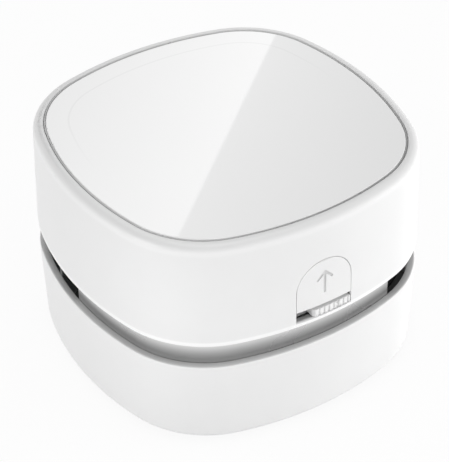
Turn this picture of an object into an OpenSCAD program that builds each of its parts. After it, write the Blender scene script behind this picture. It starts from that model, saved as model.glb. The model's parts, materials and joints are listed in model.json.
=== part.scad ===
// Desktop mini vacuum cleaner: a rounded-square body in two halves. The lower half is the
// dust box with its floor, brushes and filter. The upper half holds the fan, motor, cell
// and boards, and lifts off. Air leaves through windows in the neck between the halves.
// Millimetres. Origin on the table under the middle, +Z up, the switch side faces -Y.

/* [Overall] */
// Width across the sides at the rim and at the base
body_w = 84.4; // [84:0.2:104]
// Height of the lower half, without feet
box_h = 23; // [23:0.5:32]
// Height of the upper half
unit_h = 28.3; // [28.3:0.1:38]
// Open height between the halves
gap_h = 6.2; // [6:0.1:8]
// How far each side swells out towards the gap
flare = 0.75; // [0.3:0.05:1]
// Distance between the centres of a side's arc and a corner's arc, seen from above
arc_spread = 52.5; // [45:0.5:60]
// Height of the rubber feet below the base
foot_h = 1.5; // [1:0.1:2.5]

/* [Shells] */
// Wall of the upper shell
shell_t = 2; // [1.8:0.1:2.2]
// Width of the rim round the top panel
rim_w = 2.6; // [2.2:0.1:3]
// Rounding of the rim's outer edge
rim_r = 2.1; // [1:0.1:2.1]
// Rounding of the edges that face the gap
lip_r = 1; // [0.5:0.1:1]
// Rounding of the bottom edge
base_r = 1.6; // [0.8:0.1:1.6]
// Width of the grey ring round the panel
trim_w = 0.45; // [0.3:0.05:0.8]
// Thickness of the clear top panel
panel_t = 2.2; // [1.5:0.1:2.2]
// Thickness of the white plate under the panel
backing_t = 0.8; // [0.5:0.1:0.8]
// Thickness of the ledge that carries the panel
ledge_t = 1.2; // [1:0.1:1.2]
// Width of the ledge that carries the panel
ledge_w = 3; // [2:0.5:4]

/* [Neck] */
// How far the neck lies inside the sides
neck_in = 1.1; // [1:0.05:1.2]
// Wall of the neck
neck_t = 1.8; // [1.5:0.1:1.8]
// Depth of the neck inside the dust box
neck_dip = 7.5; // [7.5:0.5:9]
// Clearance between the neck and the dust box
neck_gap = 0.25; // [0.2:0.05:0.35]
// First and last angle of one exhaust window, and the other lies opposite
window_from = 119; // [115:1:125]
window_to = 180; // [175:1:182]
// Exhaust slots in a window
window_slots = 4; // [2:1:6]
// Width of the ribs between exhaust slots
rib_w = 1; // [0.8:0.1:1.5]
// Thickness of the foam behind the windows
foam_t = 1.6; // [1:0.1:2]

/* [Dust box] */
// Depth of the seat that the neck stands on, measured in from the sides
seat_in = 1.9; // [1.8:0.05:2.1]
// Thickness of the filter frame
filter_t = 1.8; // [1.6:0.1:2.4]
// Radius of the filter's open middle
filter_r = 29.5; // [26:0.5:30]
// Thickness of the floor plate
floor_t = 1.7; // [1.4:0.1:1.7]
// Radius of the raised middle of the floor
dish_r = 27; // [25:0.5:27]
// Height of the raised middle of the floor
dish_h = 3; // [2:0.1:3.4]
// Length of the suction mouth
mouth_l = 24; // [20:0.5:26]
// Width of the suction mouth
mouth_w = 10; // [8:0.5:12]
// Height of the intake above the floor, which keeps dust from falling out
intake_h = 5.5; // [4:0.5:7]
// Radius of the ring that the brushes stand on
brush_r = 19; // [18:0.5:21]
// Width of a brush
brush_w = 3; // [2:0.2:3.4]
// Angle that one brush spans
brush_span = 130; // [100:5:150]
// Diameter of a rubber foot
foot_d = 8; // [6:0.5:9]

/* [Switch and button] */
// Width of the arched button and of the slot under it
arch_w = 15.2; // [14:0.1:16]
// Height of the slot's lower edge above the upper half's bottom edge
slot_rise = 1.1; // [1:0.1:1.4]
// Height of the slot
slot_h = 3.2; // [3.2:0.1:4]
// Height of the button from the slot's upper edge to its crown
arch_h = 12.9; // [11:0.1:14]
// Seam round the button
seam = 0.15; // [0.12:0.01:0.25]
// Travel of the button
push_travel = 1.2; // [0.8:0.1:1.2]
// Width of the ribbed switch knob
knob_w = 10.3; // [9:0.1:11]
// Height of the ribbed switch knob
knob_h = 2.05; // [1.8:0.05:2.6]
// Pitch of the knob's ribs
knob_pitch = 1.35; // [1.2:0.05:1.6]
// Travel of the switch
switch_travel = 4.3; // [3:0.1:4.4]

/* [Drive] */
// Diameter of the motor can
motor_d = 24.4; // [24.4:0.1:28]
// Length of the motor can
motor_l = 19; // [15:0.5:19]
// Diameter of the motor shaft
shaft_d = 2; // [1.5:0.1:2.3]
// Diameter of the fan
fan_d = 56; // [48:0.5:57]
// Height of the fan's blades
blade_h = 7; // [5:0.1:7]
// Number of blades
blades = 9; // [7:1:13]
// Thickness of a blade
blade_t = 1; // [0.8:0.1:1.2]
// Diameter of the fan's inlet
inlet_d = 30; // [24:1:34]

/* [Power] */
// Diameter of the cell
cell_d = 14.1; // [14.1:0.1:16]
// Length of the cell
cell_l = 48.5; // [40:0.5:48.5]
// Width of the charging socket
socket_w = 8.94; // [7.5:0.01:9]
// Height of the charging socket
socket_h = 3.16; // [2.5:0.01:3.3]
// Depth of the charging socket
socket_l = 7.3; // [5:0.1:7.4]

/* [Hidden] */
$fn = 96;

// A small overlap that joins shapes of one piece
bite = 0.4;
// A clearance between pieces of one body
fit = 0.1;
// A clearance round a running shaft
run_fit = 0.05;
// How far a cut runs past the face that it opens
past = 1;
// How much wider than a screw its clear hole is
shank_gap = 0.3;
// How much wider than a screw's head its counterbore is
head_gap = 0.5;

// Plan outline: four bowed sides and four corners, each an arc, meeting without a kink
half_w = body_w / 2;
// A side's arc ends on a ray that leaves its centre 7 up in 24 along, a 7-24-25 triangle
seam_x = 0.96;
seam_y = 0.28;
corner_c = seam_y * arc_spread;
side_k = (seam_x - seam_y) * arc_spread;
side_r = half_w + side_k;
corner_r = side_r - arc_spread;
// How far the wedges that part the arcs reach
reach = 200;
// Width of the band that a swept profile may use, inside the sides
band = 12;
// Radius of the round plate that fills the middle of a whole plan
middle_r = half_w - 7.2;

// Levels, from the table up
base_z = foot_h;
box_z = base_z + box_h;
unit_z = box_z + gap_h;
rim_z = unit_z + unit_h;
neck_z = box_z - neck_dip;
filter_gap = 0.2;
filter_top = neck_z - filter_gap;
filter_z = filter_top - filter_t;
filter_ledge_t = 1.2;
cloth_rise = 0.5;
cloth_t = 0.6;
cloth_over = 1.1;
seal_in = 0.6;
seal_out = 2.6;
floor_in = 2.4;
floor_z = base_z + 0.1;
floor_top = floor_z + floor_t;
floor_seal_t = 0.6;
box_ledge_z = floor_top + floor_seal_t;
box_ledge_t = 1.3;
box_ledge_in = 7;
dish_z = floor_z + dish_h;
dish_top = dish_z + floor_t;
intake_top = dish_top + intake_h;
intake_t = 1.2;
deck_t = 1.5;
deck_z = unit_z + slot_rise;
deck_top = deck_z + deck_t;
panel_z = rim_z - panel_t;
backing_z = panel_z - backing_t;
panel_ledge_z = backing_z - ledge_t;

// Fan and motor levels, worked down and up from the deck
fan_top = deck_z - 1.5;
fan_plate_t = 1;
fan_z = fan_top - fan_plate_t - blade_h;
fan_cover_t = 1.2;
fan_cover_top = fan_z - 0.7;
fan_cover_z = fan_cover_top - fan_cover_t;
shroud_t = 1.2;
shroud_r = fan_d / 2 + 2;
gasket_t = 0.8;
can_z = deck_top + gasket_t;
can_top = can_z + motor_l;
can_t = 0.7;
end_cap_t = 1.5;
bearing_d = 6.2;
bearing_h = 1.6;
bearing_gap = 0.4;
motor_bolt_r = 8;
motor_screw_head_d = 3.4;
motor_screw_head_h = 0.9;
motor_screw_grip = 1.4;
core_r = motor_d / 2 - 3.4;
core_end = 3.5;
contact_ring_h = 2.4;
contact_ring_low = 3.6;
magnet_in = motor_d / 2 - 2.8;
magnet_low = 2.5;
magnet_high = 3;
magnet_from = 20;
magnet_to = 160;
terminal_x = 8.4;
terminal_t = 0.5;
terminal_w = 2.4;

// How deep a brush's backing sits in the floor, and how far it stands out
brush_sink = 0.7;
brush_stand = 0.5;
// Clearance between the bristles and the table
brush_lift = 0.25;

// Screws
small_screw_d = 1.5;
small_head_d = 3;
small_head_h = 1;
small_bore = 1.6;
small_hole = 1.9;
screw_d = 2;
screw_head_d = 4;
screw_head_h = 1.5;
boss_d = 5.6;
boss_x = half_w - 13.7;
boss_y = half_w - 18.2;
boss_top = panel_ledge_z - 3;
boss_rib_t = 1.2;
boss_bore = 9;
floor_screw_r = half_w - 8.2;
floor_screw_l = 6;
floor_sink = 0.9;
floor_boss_h = 6;
floor_bore_top = floor_z + floor_sink + floor_screw_l + 0.4;
foot_at = half_w - 17.7;
foot_sink = 0.6;
cover_screw_r = shroud_r + shroud_t + 3.2;
cover_screw_angles = [22, 100, 202, 240];
cover_post_d = 4.6;
foam_gap = 0.4;
cover_bore = 6;
board_post_d = 3.6;

// Switch and button, behind the front wall
slot_z = unit_z + slot_rise;
arch_z = slot_z + slot_h;
arch_r = arch_w / 2;
arch_mid = arch_z + arch_h - arch_r;
arch_cut = 16;
flange_gap = 0.35;
flange_t = 0.8;
button_flange = 1.2;
knob_x = arch_r - 0.3 - knob_w;
knob_z = slot_z + 0.15;
knob_over = 1.2;
knob_flange_x = knob_x - switch_travel - knob_over;
knob_flange_w = knob_w + 2 * (switch_travel + knob_over);
knob_flange_z = unit_z + 0.4;
// The knob's flat flange stays clear of the bowed wall at the far end of its travel
knob_flange_end = max(switch_travel - knob_flange_x, knob_flange_x + knob_flange_w);
knob_flange_y = front_y(knob_flange_end, shell_t) + 0.25;
knob_back_y = knob_flange_y + flange_t;
groove_w = 0.55;
groove_deep = 0.4;
notch_w = 28;
tower_t = 1.5;
tower_front = -half_w + 10.6;
board_t = 1.2;
switch_board_w = 24;
board_screw_in = 2;
switch_board_z = deck_z + 0.2;
switch_board_top = deck_top + 6.5;
switch_body_w = 13;
switch_body_deep = 3.2;
switch_body_z = slot_z - 0.3;
switch_body_h = 3.6;
switch_front = tower_front - board_t - switch_body_deep;
stem_w = 1.5;
stem_h = 1.4;
stem_in = 1.6;
stem_x = knob_x + knob_w / 2;
stem_z = knob_z + 0.3;
leg_y = knob_back_y + 0.5;
leg_t = 1.3;
leg_in = 8;
leg_w = 3;
bridge_z = arch_mid + 0.6;
bridge_h = 4.4;
nose_z = neck_z + 3;
nose_h = 2;
// The noses' tips lie this far inside the sides once the button is pushed
nose_clear = 2;
nose_tip = -half_w + nose_clear - push_travel;
nose_fit = 0.4;
flex_w = 10;
flex_t = 0.8;
latch_top = deck_top + 17.6;
tower_top = latch_top;
latch_post_d = 4.4;
latch_bore = 6;
latch_tab_t = 1.2;
latch_post_y = tower_front + tower_t + latch_post_d / 2 - bite;
spring_d = 4.6;
spring_wire = 0.6;
spring_z = bridge_z + bridge_h / 2;

// Cell and charging board
cradle_x = 15;
cradle_w = 4;
cradle_foot = 8;
cradle_foot_t = 1;
contact_d = 5.5;
contact_l = 1;
cell_y = motor_d / 2 + 1.3 + cell_d / 2;
cell_z = deck_top + cradle_foot_t + cell_d / 2;
charge_board_w = 24;
charge_board_out = half_w - 3.6;
charge_board_in = cell_y + cell_d / 2 + 1;
charge_board_z = deck_top + 2.7;
charge_board_screw_x = 9.2;
charge_board_screw_y = charge_board_in + 2.4;
socket_y = half_w - 1.4;
socket_z = charge_board_z + board_t;
socket_t = 0.35;
socket_back_t = 1;
port_fit = 0.2;
// How far the cuts in the back wall run in and out from the side's plane
back_cut_in = 6;
back_cut_out = 4;
light_x = 9;
light_d = 2;
light_z = socket_z + 1.3;

// Outward offset of the sides of the upper half at height z
function unit_out(z) = flare * min(1, max(0, (rim_z - rim_r - z) / (unit_h - rim_r - lip_r)));
// Outward offset of the sides of the lower half at height z
function box_out(z) = flare * (z - base_z) / box_h;
// Y of the front wall a distance across from its middle and a depth behind its outer face
function front_y(x, deep) = side_k - sqrt(pow(side_r + unit_out(slot_z) - deep, 2) - x * x);
// Points of an arc, as (offset, height) pairs
function arc_points(cx, cz, r, from, to, steps = 8) =
    [for (i = [0:steps]) let (t = from + (to - from) * i / steps) [cx + r * cos(t), cz + r * sin(t)]];

// Turns a profile, drawn as (distance out from the sides, height), round the whole plan
module around() {
    for (q = [0:3]) {
        rotate([0, 0, 90 * q]) {
            side_part() children();
            corner_part() children();
        }
    }
}

// The part of a turned profile that lies on the +X side
module side_part() {
    translate([-side_k, 0, 0]) intersection() {
        rotate_extrude() translate([side_r, 0]) children();
        seam_wedge([seam_x, -seam_y], [seam_x, seam_y]);
    }
}

// The part of a turned profile that lies on the +X +Y corner
module corner_part() {
    translate([corner_c, corner_c, 0]) intersection() {
        rotate_extrude() translate([corner_r, 0]) children();
        seam_wedge([seam_x, seam_y], [seam_y, seam_x]);
    }
}

// An upright wedge between two rays
module seam_wedge(a, b) {
    translate([0, 0, -1]) linear_extrude(rim_z + 2) polygon([[0, 0], reach * a, reach * b]);
}

// A rectangle in a profile, from offset a to offset b
module strip(a, b, z0, z1) {
    translate([a, z0]) square([b - a, z1 - z0]);
}

// A plate with the plan outline moved by d
module plan_plate(d, z0, z1) {
    around() strip(-band, d, z0, z1);
    translate([0, 0, z0]) cylinder(h = z1 - z0, r = middle_r);
}

// A box from corner to corner
module block(x0, x1, y0, y1, z0, z1) {
    translate([x0, y0, z0]) cube([x1 - x0, y1 - y0, z1 - z0]);
}

// An upright cylinder at a point
module post(x, y, z0, z1, d) {
    translate([x, y, z0]) cylinder(h = z1 - z0, d = d);
}

// A cylinder along Y
module rod_y(x, z, y0, y1, d) {
    translate([x, y0, z]) rotate([-90, 0, 0]) cylinder(h = y1 - y0, d = d);
}

// An upright hole between two heights
module hole(x, y, z0, z1, d) {
    post(x, y, z0 - past, z1 + past, d);
}

// A slot with round ends, lying along X, cut or raised between two heights
module stadium(l, w, z0, z1) {
    for (s = [-1, 1]) post(s * (l - w) / 2, 0, z0, z1, w);
    block(-(l - w) / 2, (l - w) / 2, -w / 2, w / 2, z0, z1);
}

// A ring segment between two radii and two angles
module ring_part(r0, r1, from, to, z0, z1) {
    rotate([0, 0, from]) rotate_extrude(angle = to - from)
        translate([r0, z0]) square([r1 - r0, z1 - z0]);
}

// An upright wedge from the middle out to past the sides, between two angles
module wedge(from, to, z0, z1) {
    far = body_w;
    translate([0, 0, z0]) linear_extrude(z1 - z0)
        polygon([[0, 0], for (i = [0:2]) let (t = from + (to - from) * i / 2) far * [cos(t), sin(t)]]);
}

// Four places, mirrored to every quarter
module at_quarters(x, y) {
    for (sx = [-1, 1]) for (sy = [-1, 1]) translate([sx * x, sy * y, 0]) children();
}

// A screw that points up, with its head's underside at height z
module screw_up(z, shank, head_d = screw_head_d, d = screw_d, head_h = screw_head_h) {
    slot_w = 0.5;
    slot_deep = 0.6 * head_h;
    difference() {
        union() {
            translate([0, 0, z - head_h]) cylinder(h = head_h, d = head_d);
            translate([0, 0, z - bite]) cylinder(h = shank + bite, d = d);
        }
        for (t = [0, 90]) rotate([0, 0, t])
            translate([-head_d / 4, -slot_w / 2, z - head_h - past])
                cube([head_d / 2, slot_w, past + slot_deep]);
    }
}

// A small screw that points up, with its head's underside at height 0
module small_screw(shank) {
    screw_up(0, shank, head_d = small_head_d, head_h = small_head_h, d = small_screw_d);
}

// ---- Lower half ----

// Profile of the dust box wall, with its neck seat and filter ledge
module box_profile() {
    top_out = box_out(box_z);
    polygon(concat(
        arc_points(-base_r, base_z + base_r, base_r, 270, 360),
        arc_points(top_out - lip_r, box_z - lip_r, lip_r, 0, 90),
        [
            [-neck_in + neck_gap, box_z],
            [-neck_in + neck_gap, neck_z],
            [-seat_in, neck_z],
            [-seat_in, filter_z],
            [-seat_in - 2.2, filter_z],
            [-seat_in - 2.2, filter_z - filter_ledge_t],
            [-seat_in, filter_z - filter_ledge_t - 1.6],
            [-seat_in, box_ledge_z + box_ledge_t],
            [-box_ledge_in, box_ledge_z + box_ledge_t],
            [-box_ledge_in, box_ledge_z],
            [-floor_in + fit, box_ledge_z],
            [-floor_in + fit, base_z]
        ]
    ));
}

module dust_box() color("white") difference() {
    union() {
        around() box_profile();
        for (q = [0:3]) rotate([0, 0, 90 * q])
            post(floor_screw_r, 0, box_ledge_z, box_ledge_z + floor_boss_h, boss_d);
    }
    for (q = [0:3]) rotate([0, 0, 90 * q])
        post(floor_screw_r, 0, box_ledge_z - past, floor_bore_top, screw_d);
    for (s = [-1, 1]) nose_room(s, nose_tip - 0.15);
}

// Room for one latch nose, reaching out towards the front as far as y
module nose_room(s, y) {
    mid = s * (leg_in + leg_w / 2);
    half = leg_w / 2 + nose_fit;
    block(mid - half, mid + half, y, leg_y + leg_t, nose_z - nose_fit, nose_z + nose_h + nose_fit);
}

module floor_plate() color("whitesmoke") difference() {
    union() {
        difference() {
            plan_plate(-floor_in, floor_z, floor_top);
            hole(0, 0, floor_z, floor_top, 2 * dish_r);
        }
        difference() {
            translate([0, 0, floor_z]) cylinder(h = dish_top - floor_z, r = dish_r + floor_t);
            post(0, 0, floor_z - past, dish_z, 2 * dish_r);
        }
        stadium(mouth_l + 2 * intake_t, mouth_w + 2 * intake_t, dish_z, intake_top);
    }
    stadium(mouth_l, mouth_w, dish_z - past, intake_top + past);
    for (q = [0:3]) rotate([0, 0, 90 * q]) {
        hole(floor_screw_r, 0, floor_z, floor_top, screw_d + shank_gap);
        post(floor_screw_r, 0, floor_z - past, floor_z + floor_sink, screw_head_d + head_gap);
    }
    at_quarters(foot_at, foot_at) post(0, 0, floor_z - past, floor_z + foot_sink, foot_d + 2 * fit);
    for (s = [0, 180])
        ring_part(brush_r - brush_w / 2, brush_r + brush_w / 2,
            s + 90 - brush_span / 2, s + 90 + brush_span / 2, dish_z - past, dish_z + brush_sink);
}

module floor_seal() color("dimgray") difference() {
    around() strip(-box_ledge_in + 1, -box_ledge_in + 2.6, floor_top, box_ledge_z);
    for (q = [0:3]) rotate([0, 0, 90 * q])
        hole(floor_screw_r, 0, floor_top, box_ledge_z, screw_d + 2 * shank_gap);
}

module floor_screws() color("silver") for (q = [0:3]) rotate([0, 0, 90 * q])
    translate([floor_screw_r, 0, 0])
        screw_up(floor_z + floor_sink, floor_screw_l, head_h = floor_sink - 0.1, d = screw_d - 2 * fit);

module rubber_feet() color("gray") at_quarters(foot_at, foot_at)
    post(0, 0, 0, floor_z + foot_sink, foot_d);

module brush_backings() color("gray") for (s = [0, 180])
    ring_part(brush_r - brush_w / 2 + fit, brush_r + brush_w / 2 - fit,
        s + 90 - brush_span / 2 + 0.5, s + 90 + brush_span / 2 - 0.5,
        dish_z - brush_stand, dish_z + brush_sink);

module brush_bristles() color("darkgray") for (s = [0, 180])
    ring_part(brush_r - brush_w / 2 + 0.3, brush_r + brush_w / 2 - 0.3,
        s + 90 - brush_span / 2 + 1, s + 90 + brush_span / 2 - 1, brush_lift, dish_z - brush_stand);

// ---- Filter ----

module filter_frame() color("lightgray") {
    bar_w = 2.4;
    bar_rise = 1.1;
    tab_w = 14;
    tab_t = 1.4;
    tab_h = 2.6;
    difference() {
        plan_plate(-seat_in - 0.3, filter_z, filter_top);
        hole(0, 0, filter_z, filter_top, 2 * filter_r);
        translate([0, 0, filter_z + cloth_rise]) cylinder(h = cloth_t, r = filter_r + cloth_over + fit);
    }
    for (t = [0, 90]) rotate([0, 0, t])
        block(-filter_r - bite, filter_r + bite, -bar_w / 2, bar_w / 2, filter_z + bar_rise, filter_top);
    block(-tab_w / 2, tab_w / 2, -tab_t / 2, tab_t / 2, filter_top - bite, filter_top + tab_h);
}

module filter_cloth() color("gainsboro") translate([0, 0, filter_z + cloth_rise])
    cylinder(h = cloth_t, r = filter_r + cloth_over);

module filter_seal() color("dimgray") difference() {
    post(0, 0, neck_z, fan_cover_z, 2 * (filter_r + seal_out));
    hole(0, 0, neck_z, fan_cover_z, 2 * (filter_r + seal_in));
}

// ---- Upper half: covers ----

// Profile of the upper shell with its rim and the ledge that carries the panel
module shell_profile() {
    low_out = unit_out(unit_z);
    polygon(concat(
        arc_points(low_out - lip_r, unit_z + lip_r, lip_r, 270, 360),
        arc_points(-rim_r, rim_z - rim_r, rim_r, 0, 90),
        [
            [-rim_w, rim_z],
            [-rim_w, backing_z],
            [-rim_w - ledge_w, backing_z],
            [-rim_w - ledge_w, panel_ledge_z],
            [-shell_t, panel_ledge_z - (rim_w + ledge_w - shell_t)],
            [low_out - shell_t, unit_z]
        ]
    ));
}

// The arched opening in the front wall, grown by an amount, from height z up
module arch_prism(grow, z) {
    translate([0, -half_w + arch_cut / 2, 0]) rotate([90, 0, 0]) linear_extrude(arch_cut) {
        translate([-arch_r - grow, z]) square([arch_w + 2 * grow, arch_mid - z]);
        intersection() {
            translate([0, arch_mid]) circle(r = arch_r + grow);
            translate([-arch_w, arch_mid - bite]) square([2 * arch_w, arch_w]);
        }
    }
}

module upper_shell() color("white") difference() {
    union() {
        around() shell_profile();
        at_quarters(boss_x, boss_y) post(0, 0, deck_top, boss_top, boss_d);
        for (s = [-1, 1]) for (m = [-1, 1])
            intersection() {
                block(s * boss_x - boss_rib_t / 2, s * boss_x + boss_rib_t / 2,
                    min(m * boss_y, m * half_w), max(m * boss_y, m * half_w), deck_top, boss_top);
                plan_plate(-shell_t + bite, deck_top, boss_top);
            }
    }
    arch_prism(0, slot_z);
    at_quarters(boss_x, boss_y) post(0, 0, deck_top - past, deck_top + boss_bore, screw_d);
    port_prism();
    rod_y(light_x, light_z, half_w - back_cut_in, half_w + back_cut_out, light_d + 2 * fit);
}

// The opening for the charging socket in the back wall
module port_prism() {
    r = socket_h / 2 + port_fit;
    mid_z = socket_z + socket_h / 2;
    x = (socket_w - socket_h) / 2;
    for (s = [-1, 1]) rod_y(s * x, mid_z, half_w - back_cut_in, half_w + back_cut_out, 2 * r);
    block(-x, x, half_w - back_cut_in, half_w + back_cut_out, mid_z - r, mid_z + r);
}

module trim_ring() color("gray")
    around() strip(-rim_w - trim_w, -rim_w - fit / 5, panel_z, rim_z - 0.05);

module top_panel() color("white", 0.5)
    plan_plate(-rim_w - trim_w - fit / 5, panel_z, rim_z);

module panel_backing() color("white")
    plan_plate(-rim_w - fit, backing_z, panel_z);

// ---- Upper half: frame and air path ----

module neck_frame() color("lightgray") {
    difference() {
        union() {
            around() union() {
                strip(-neck_in - neck_t, -neck_in, neck_z, unit_z);
                strip(-neck_in - neck_t, -shell_t + 0.1, unit_z - bite, deck_top);
            }
            plan_plate(-neck_in - neck_t + bite, deck_z, deck_top);
        }
        neck_windows();
        for (s = [-1, 1]) nose_room(s, -half_w - 2);
        block(-notch_w / 2, notch_w / 2, -half_w - 2, tower_front, unit_z + 0.2, deck_top + past);
        hole(0, 0, deck_z, deck_top, bearing_d + bearing_gap);
        for (s = [-1, 1]) hole(s * motor_bolt_r, 0, deck_z, deck_top, screw_d + 2 * fit);
        at_quarters(boss_x, boss_y) hole(0, 0, deck_z, deck_top, screw_d + shank_gap);
    }
    front_tower();
    for (t = cover_screw_angles) rotate([0, 0, t]) difference() {
        post(cover_screw_r, 0, fan_cover_top, deck_z + bite, cover_post_d);
        post(cover_screw_r, 0, fan_cover_top - past, fan_cover_top + cover_bore, screw_d);
    }
    for (s = [-1, 1]) translate([s * charge_board_screw_x, charge_board_screw_y, 0]) difference() {
        post(0, 0, deck_top - bite, charge_board_z, board_post_d);
        post(0, 0, deck_top + bite, charge_board_z + past, small_bore);
    }
}

// Exhaust slots, with ribs left between them, on two opposite corners
module neck_windows() {
    step = (window_to - window_from) / window_slots;
    rib_angle = asin(rib_w / half_w) / 2;
    for (turn = [0, 180]) for (i = [0:window_slots - 1]) {
        from = turn + window_from + i * step;
        difference() {
            wedge(from + rib_angle, from + step - rib_angle, box_z - 1.2, unit_z - 0.3);
            translate([0, 0, box_z - 2]) cylinder(h = gap_h + 4, r = cover_screw_r - 1);
        }
    }
}

// Upright wall on the deck that carries the switch board, the spring and the latch
module front_tower() difference() {
    half = switch_board_w / 2;
    union() {
        block(-half, half, tower_front, tower_front + tower_t, deck_top - bite, tower_top);
        post(0, latch_post_y, deck_top - bite, tower_top, latch_post_d);
    }
    post(0, latch_post_y, tower_top - latch_bore, tower_top + past, small_bore);
    for (s = [-1, 1])
        rod_y(s * (half - board_screw_in), switch_board_top - board_screw_in,
            tower_front - past, tower_front + tower_t + past, small_bore);
}

module exhaust_foams() color("dimgray") for (turn = [0, 180]) difference() {
    intersection() {
        around() strip(-neck_in - neck_t - fit - foam_t, -neck_in - neck_t - fit, fan_cover_top, deck_z);
        wedge(turn + window_from - 4, turn + window_to + 4, fan_cover_z, deck_z + 1);
    }
    for (t = cover_screw_angles) rotate([0, 0, t])
        post(cover_screw_r, 0, fan_cover_z, deck_z + past, cover_post_d + foam_gap);
    at_quarters(boss_x, boss_y)
        post(0, 0, deck_z - screw_head_h - foam_gap, deck_z + past, screw_head_d + foam_gap);
}

module shell_screws() color("silver") at_quarters(boss_x, boss_y)
    screw_up(deck_z, boss_bore, d = screw_d - 2 * fit);

module fan_cover() color("gray") difference() {
    union() {
        plan_plate(-neck_in - neck_t - 0.2, fan_cover_z, fan_cover_top);
        for (turn = [0, 180])
            ring_part(shroud_r, shroud_r + shroud_t, turn + window_to - 180, turn + window_from,
                fan_cover_top - bite, deck_z - fit);
    }
    hole(0, 0, fan_cover_z, fan_cover_top, inlet_d);
    leg_room = leg_in + leg_w + 1.6;
    block(-leg_room, leg_room, -half_w, leg_y + leg_t + 0.6, fan_cover_z - past, fan_cover_top + past);
    for (t = cover_screw_angles) rotate([0, 0, t])
        hole(cover_screw_r, 0, fan_cover_z, fan_cover_top, screw_d + shank_gap);
}

module fan_cover_screws() color("silver") for (t = cover_screw_angles) rotate([0, 0, t])
    translate([cover_screw_r, 0, 0]) screw_up(fan_cover_z, cover_bore, d = screw_d - 2 * fit);

module fan() color("dimgray") {
    hub_d = 9;
    sweep_r = 17;
    sweep_x = sweep_r + hub_d / 2 - 3;
    blade_in = 8;
    difference() {
        union() {
            translate([0, 0, fan_top - fan_plate_t]) cylinder(h = fan_plate_t, d = fan_d);
            translate([0, 0, fan_z + 1]) cylinder(h = fan_top - fan_z - 1, d = hub_d);
            intersection() {
                for (i = [0:blades - 1]) rotate([0, 0, 360 * i / blades]) translate([sweep_x, 0, 0])
                    ring_part(sweep_r - blade_t, sweep_r, 80, 178, fan_z, fan_top - fan_plate_t + bite);
                difference() {
                    post(0, 0, fan_z - past, fan_top - past, fan_d);
                    post(0, 0, fan_z - 2 * past, fan_top, inlet_d - blade_in);
                }
            }
        }
        hole(0, 0, fan_z, fan_top, shaft_d + fit / 5);
    }
}

// ---- Motor ----

module motor_shaft() color("silver")
    post(0, 0, fan_z + 1.4, can_top + end_cap_t - 0.7, shaft_d);

module motor_core() color("peru") difference() {
    union() {
        post(0, 0, can_z + core_end, can_top - core_end, 2 * core_r);
        translate([0, 0, can_top - contact_ring_low]) cylinder(h = contact_ring_h, d = shaft_d + 4);
    }
    translate([0, 0, can_z]) cylinder(h = motor_l, d = shaft_d + fit / 5);
}

module motor_can() color("silver") difference() {
    union() {
        translate([0, 0, can_z]) cylinder(h = motor_l, d = motor_d);
        translate([0, 0, can_z - bearing_h]) cylinder(h = bearing_h + bite, d = bearing_d);
    }
    translate([0, 0, can_z + can_t]) cylinder(h = motor_l, d = motor_d - 2 * can_t);
    hole(0, 0, can_z - bearing_h, can_z + can_t, shaft_d + 2 * run_fit);
    for (s = [-1, 1]) hole(s * motor_bolt_r, 0, can_z, can_z + can_t, screw_d);
}

module motor_magnets() color("dimgray") for (turn = [0, 180])
    ring_part(magnet_in, motor_d / 2 - can_t - fit / 2,
        turn + magnet_from, turn + magnet_to, can_z + magnet_low, can_top - magnet_high);

module motor_end_cap() color("ivory") difference() {
    half_t = terminal_t / 2 + fit;
    half = (terminal_w + fit) / 2;
    translate([0, 0, can_top]) cylinder(h = end_cap_t, d = motor_d - 0.6);
    translate([0, 0, can_top - past]) cylinder(h = end_cap_t + 0.4, d = shaft_d + 2 * run_fit);
    for (s = [-1, 1]) translate([s * terminal_x, 0, 0])
        block(-half_t, half_t, -half, half, can_top - past, can_top + end_cap_t + past);
}

module motor_terminals() color("gold") for (s = [-1, 1]) translate([s * terminal_x, 0, 0])
    block(-terminal_t / 2, terminal_t / 2, -terminal_w / 2, terminal_w / 2,
        can_top - 2, can_top + end_cap_t + 0.4);

module motor_gasket() color("black") difference() {
    translate([0, 0, deck_top]) cylinder(h = gasket_t, d = motor_d);
    hole(0, 0, deck_top, can_z, bearing_d + bearing_gap);
    for (s = [-1, 1]) hole(s * motor_bolt_r, 0, deck_top, can_z, screw_d + 2 * fit);
}

module motor_screws() color("silver") for (s = [-1, 1]) translate([s * motor_bolt_r, 0, 0])
    screw_up(deck_z, deck_t + gasket_t + motor_screw_grip,
        head_d = motor_screw_head_d, head_h = motor_screw_head_h, d = screw_d - 2 * fit);

// ---- Power ----

module cell_cradle() color("gray") difference() {
    union() {
        block(-cradle_x - cradle_w / 2, cradle_x + cradle_w / 2,
            cell_y - cradle_foot / 2, cell_y + cradle_foot / 2, deck_top, deck_top + cradle_foot_t);
        for (s = [-1, 1])
            block(s * cradle_x - cradle_w / 2, s * cradle_x + cradle_w / 2,
                cell_y - cell_d / 2 - 0.7, cell_y + cell_d / 2 + 0.4, deck_top, cell_z);
    }
    translate([-cell_l / 2, cell_y, cell_z]) rotate([0, 90, 0]) cylinder(h = cell_l, d = cell_d + fit);
}

module battery_cell() color("steelblue") translate([-cell_l / 2, cell_y, cell_z]) rotate([0, 90, 0]) {
    cylinder(h = cell_l - contact_l, d = cell_d);
    cylinder(h = cell_l, d = contact_d);
}

module charging_board() color("green") difference() {
    block(-charge_board_w / 2, charge_board_w / 2, charge_board_in, charge_board_out,
        charge_board_z, charge_board_z + board_t);
    for (s = [-1, 1])
        hole(s * charge_board_screw_x, charge_board_screw_y, charge_board_z, socket_z, small_hole);
}

module charging_socket() color("silver") difference() {
    socket_tube(0, socket_l);
    socket_tube(socket_t, socket_l - socket_back_t);
}

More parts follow.
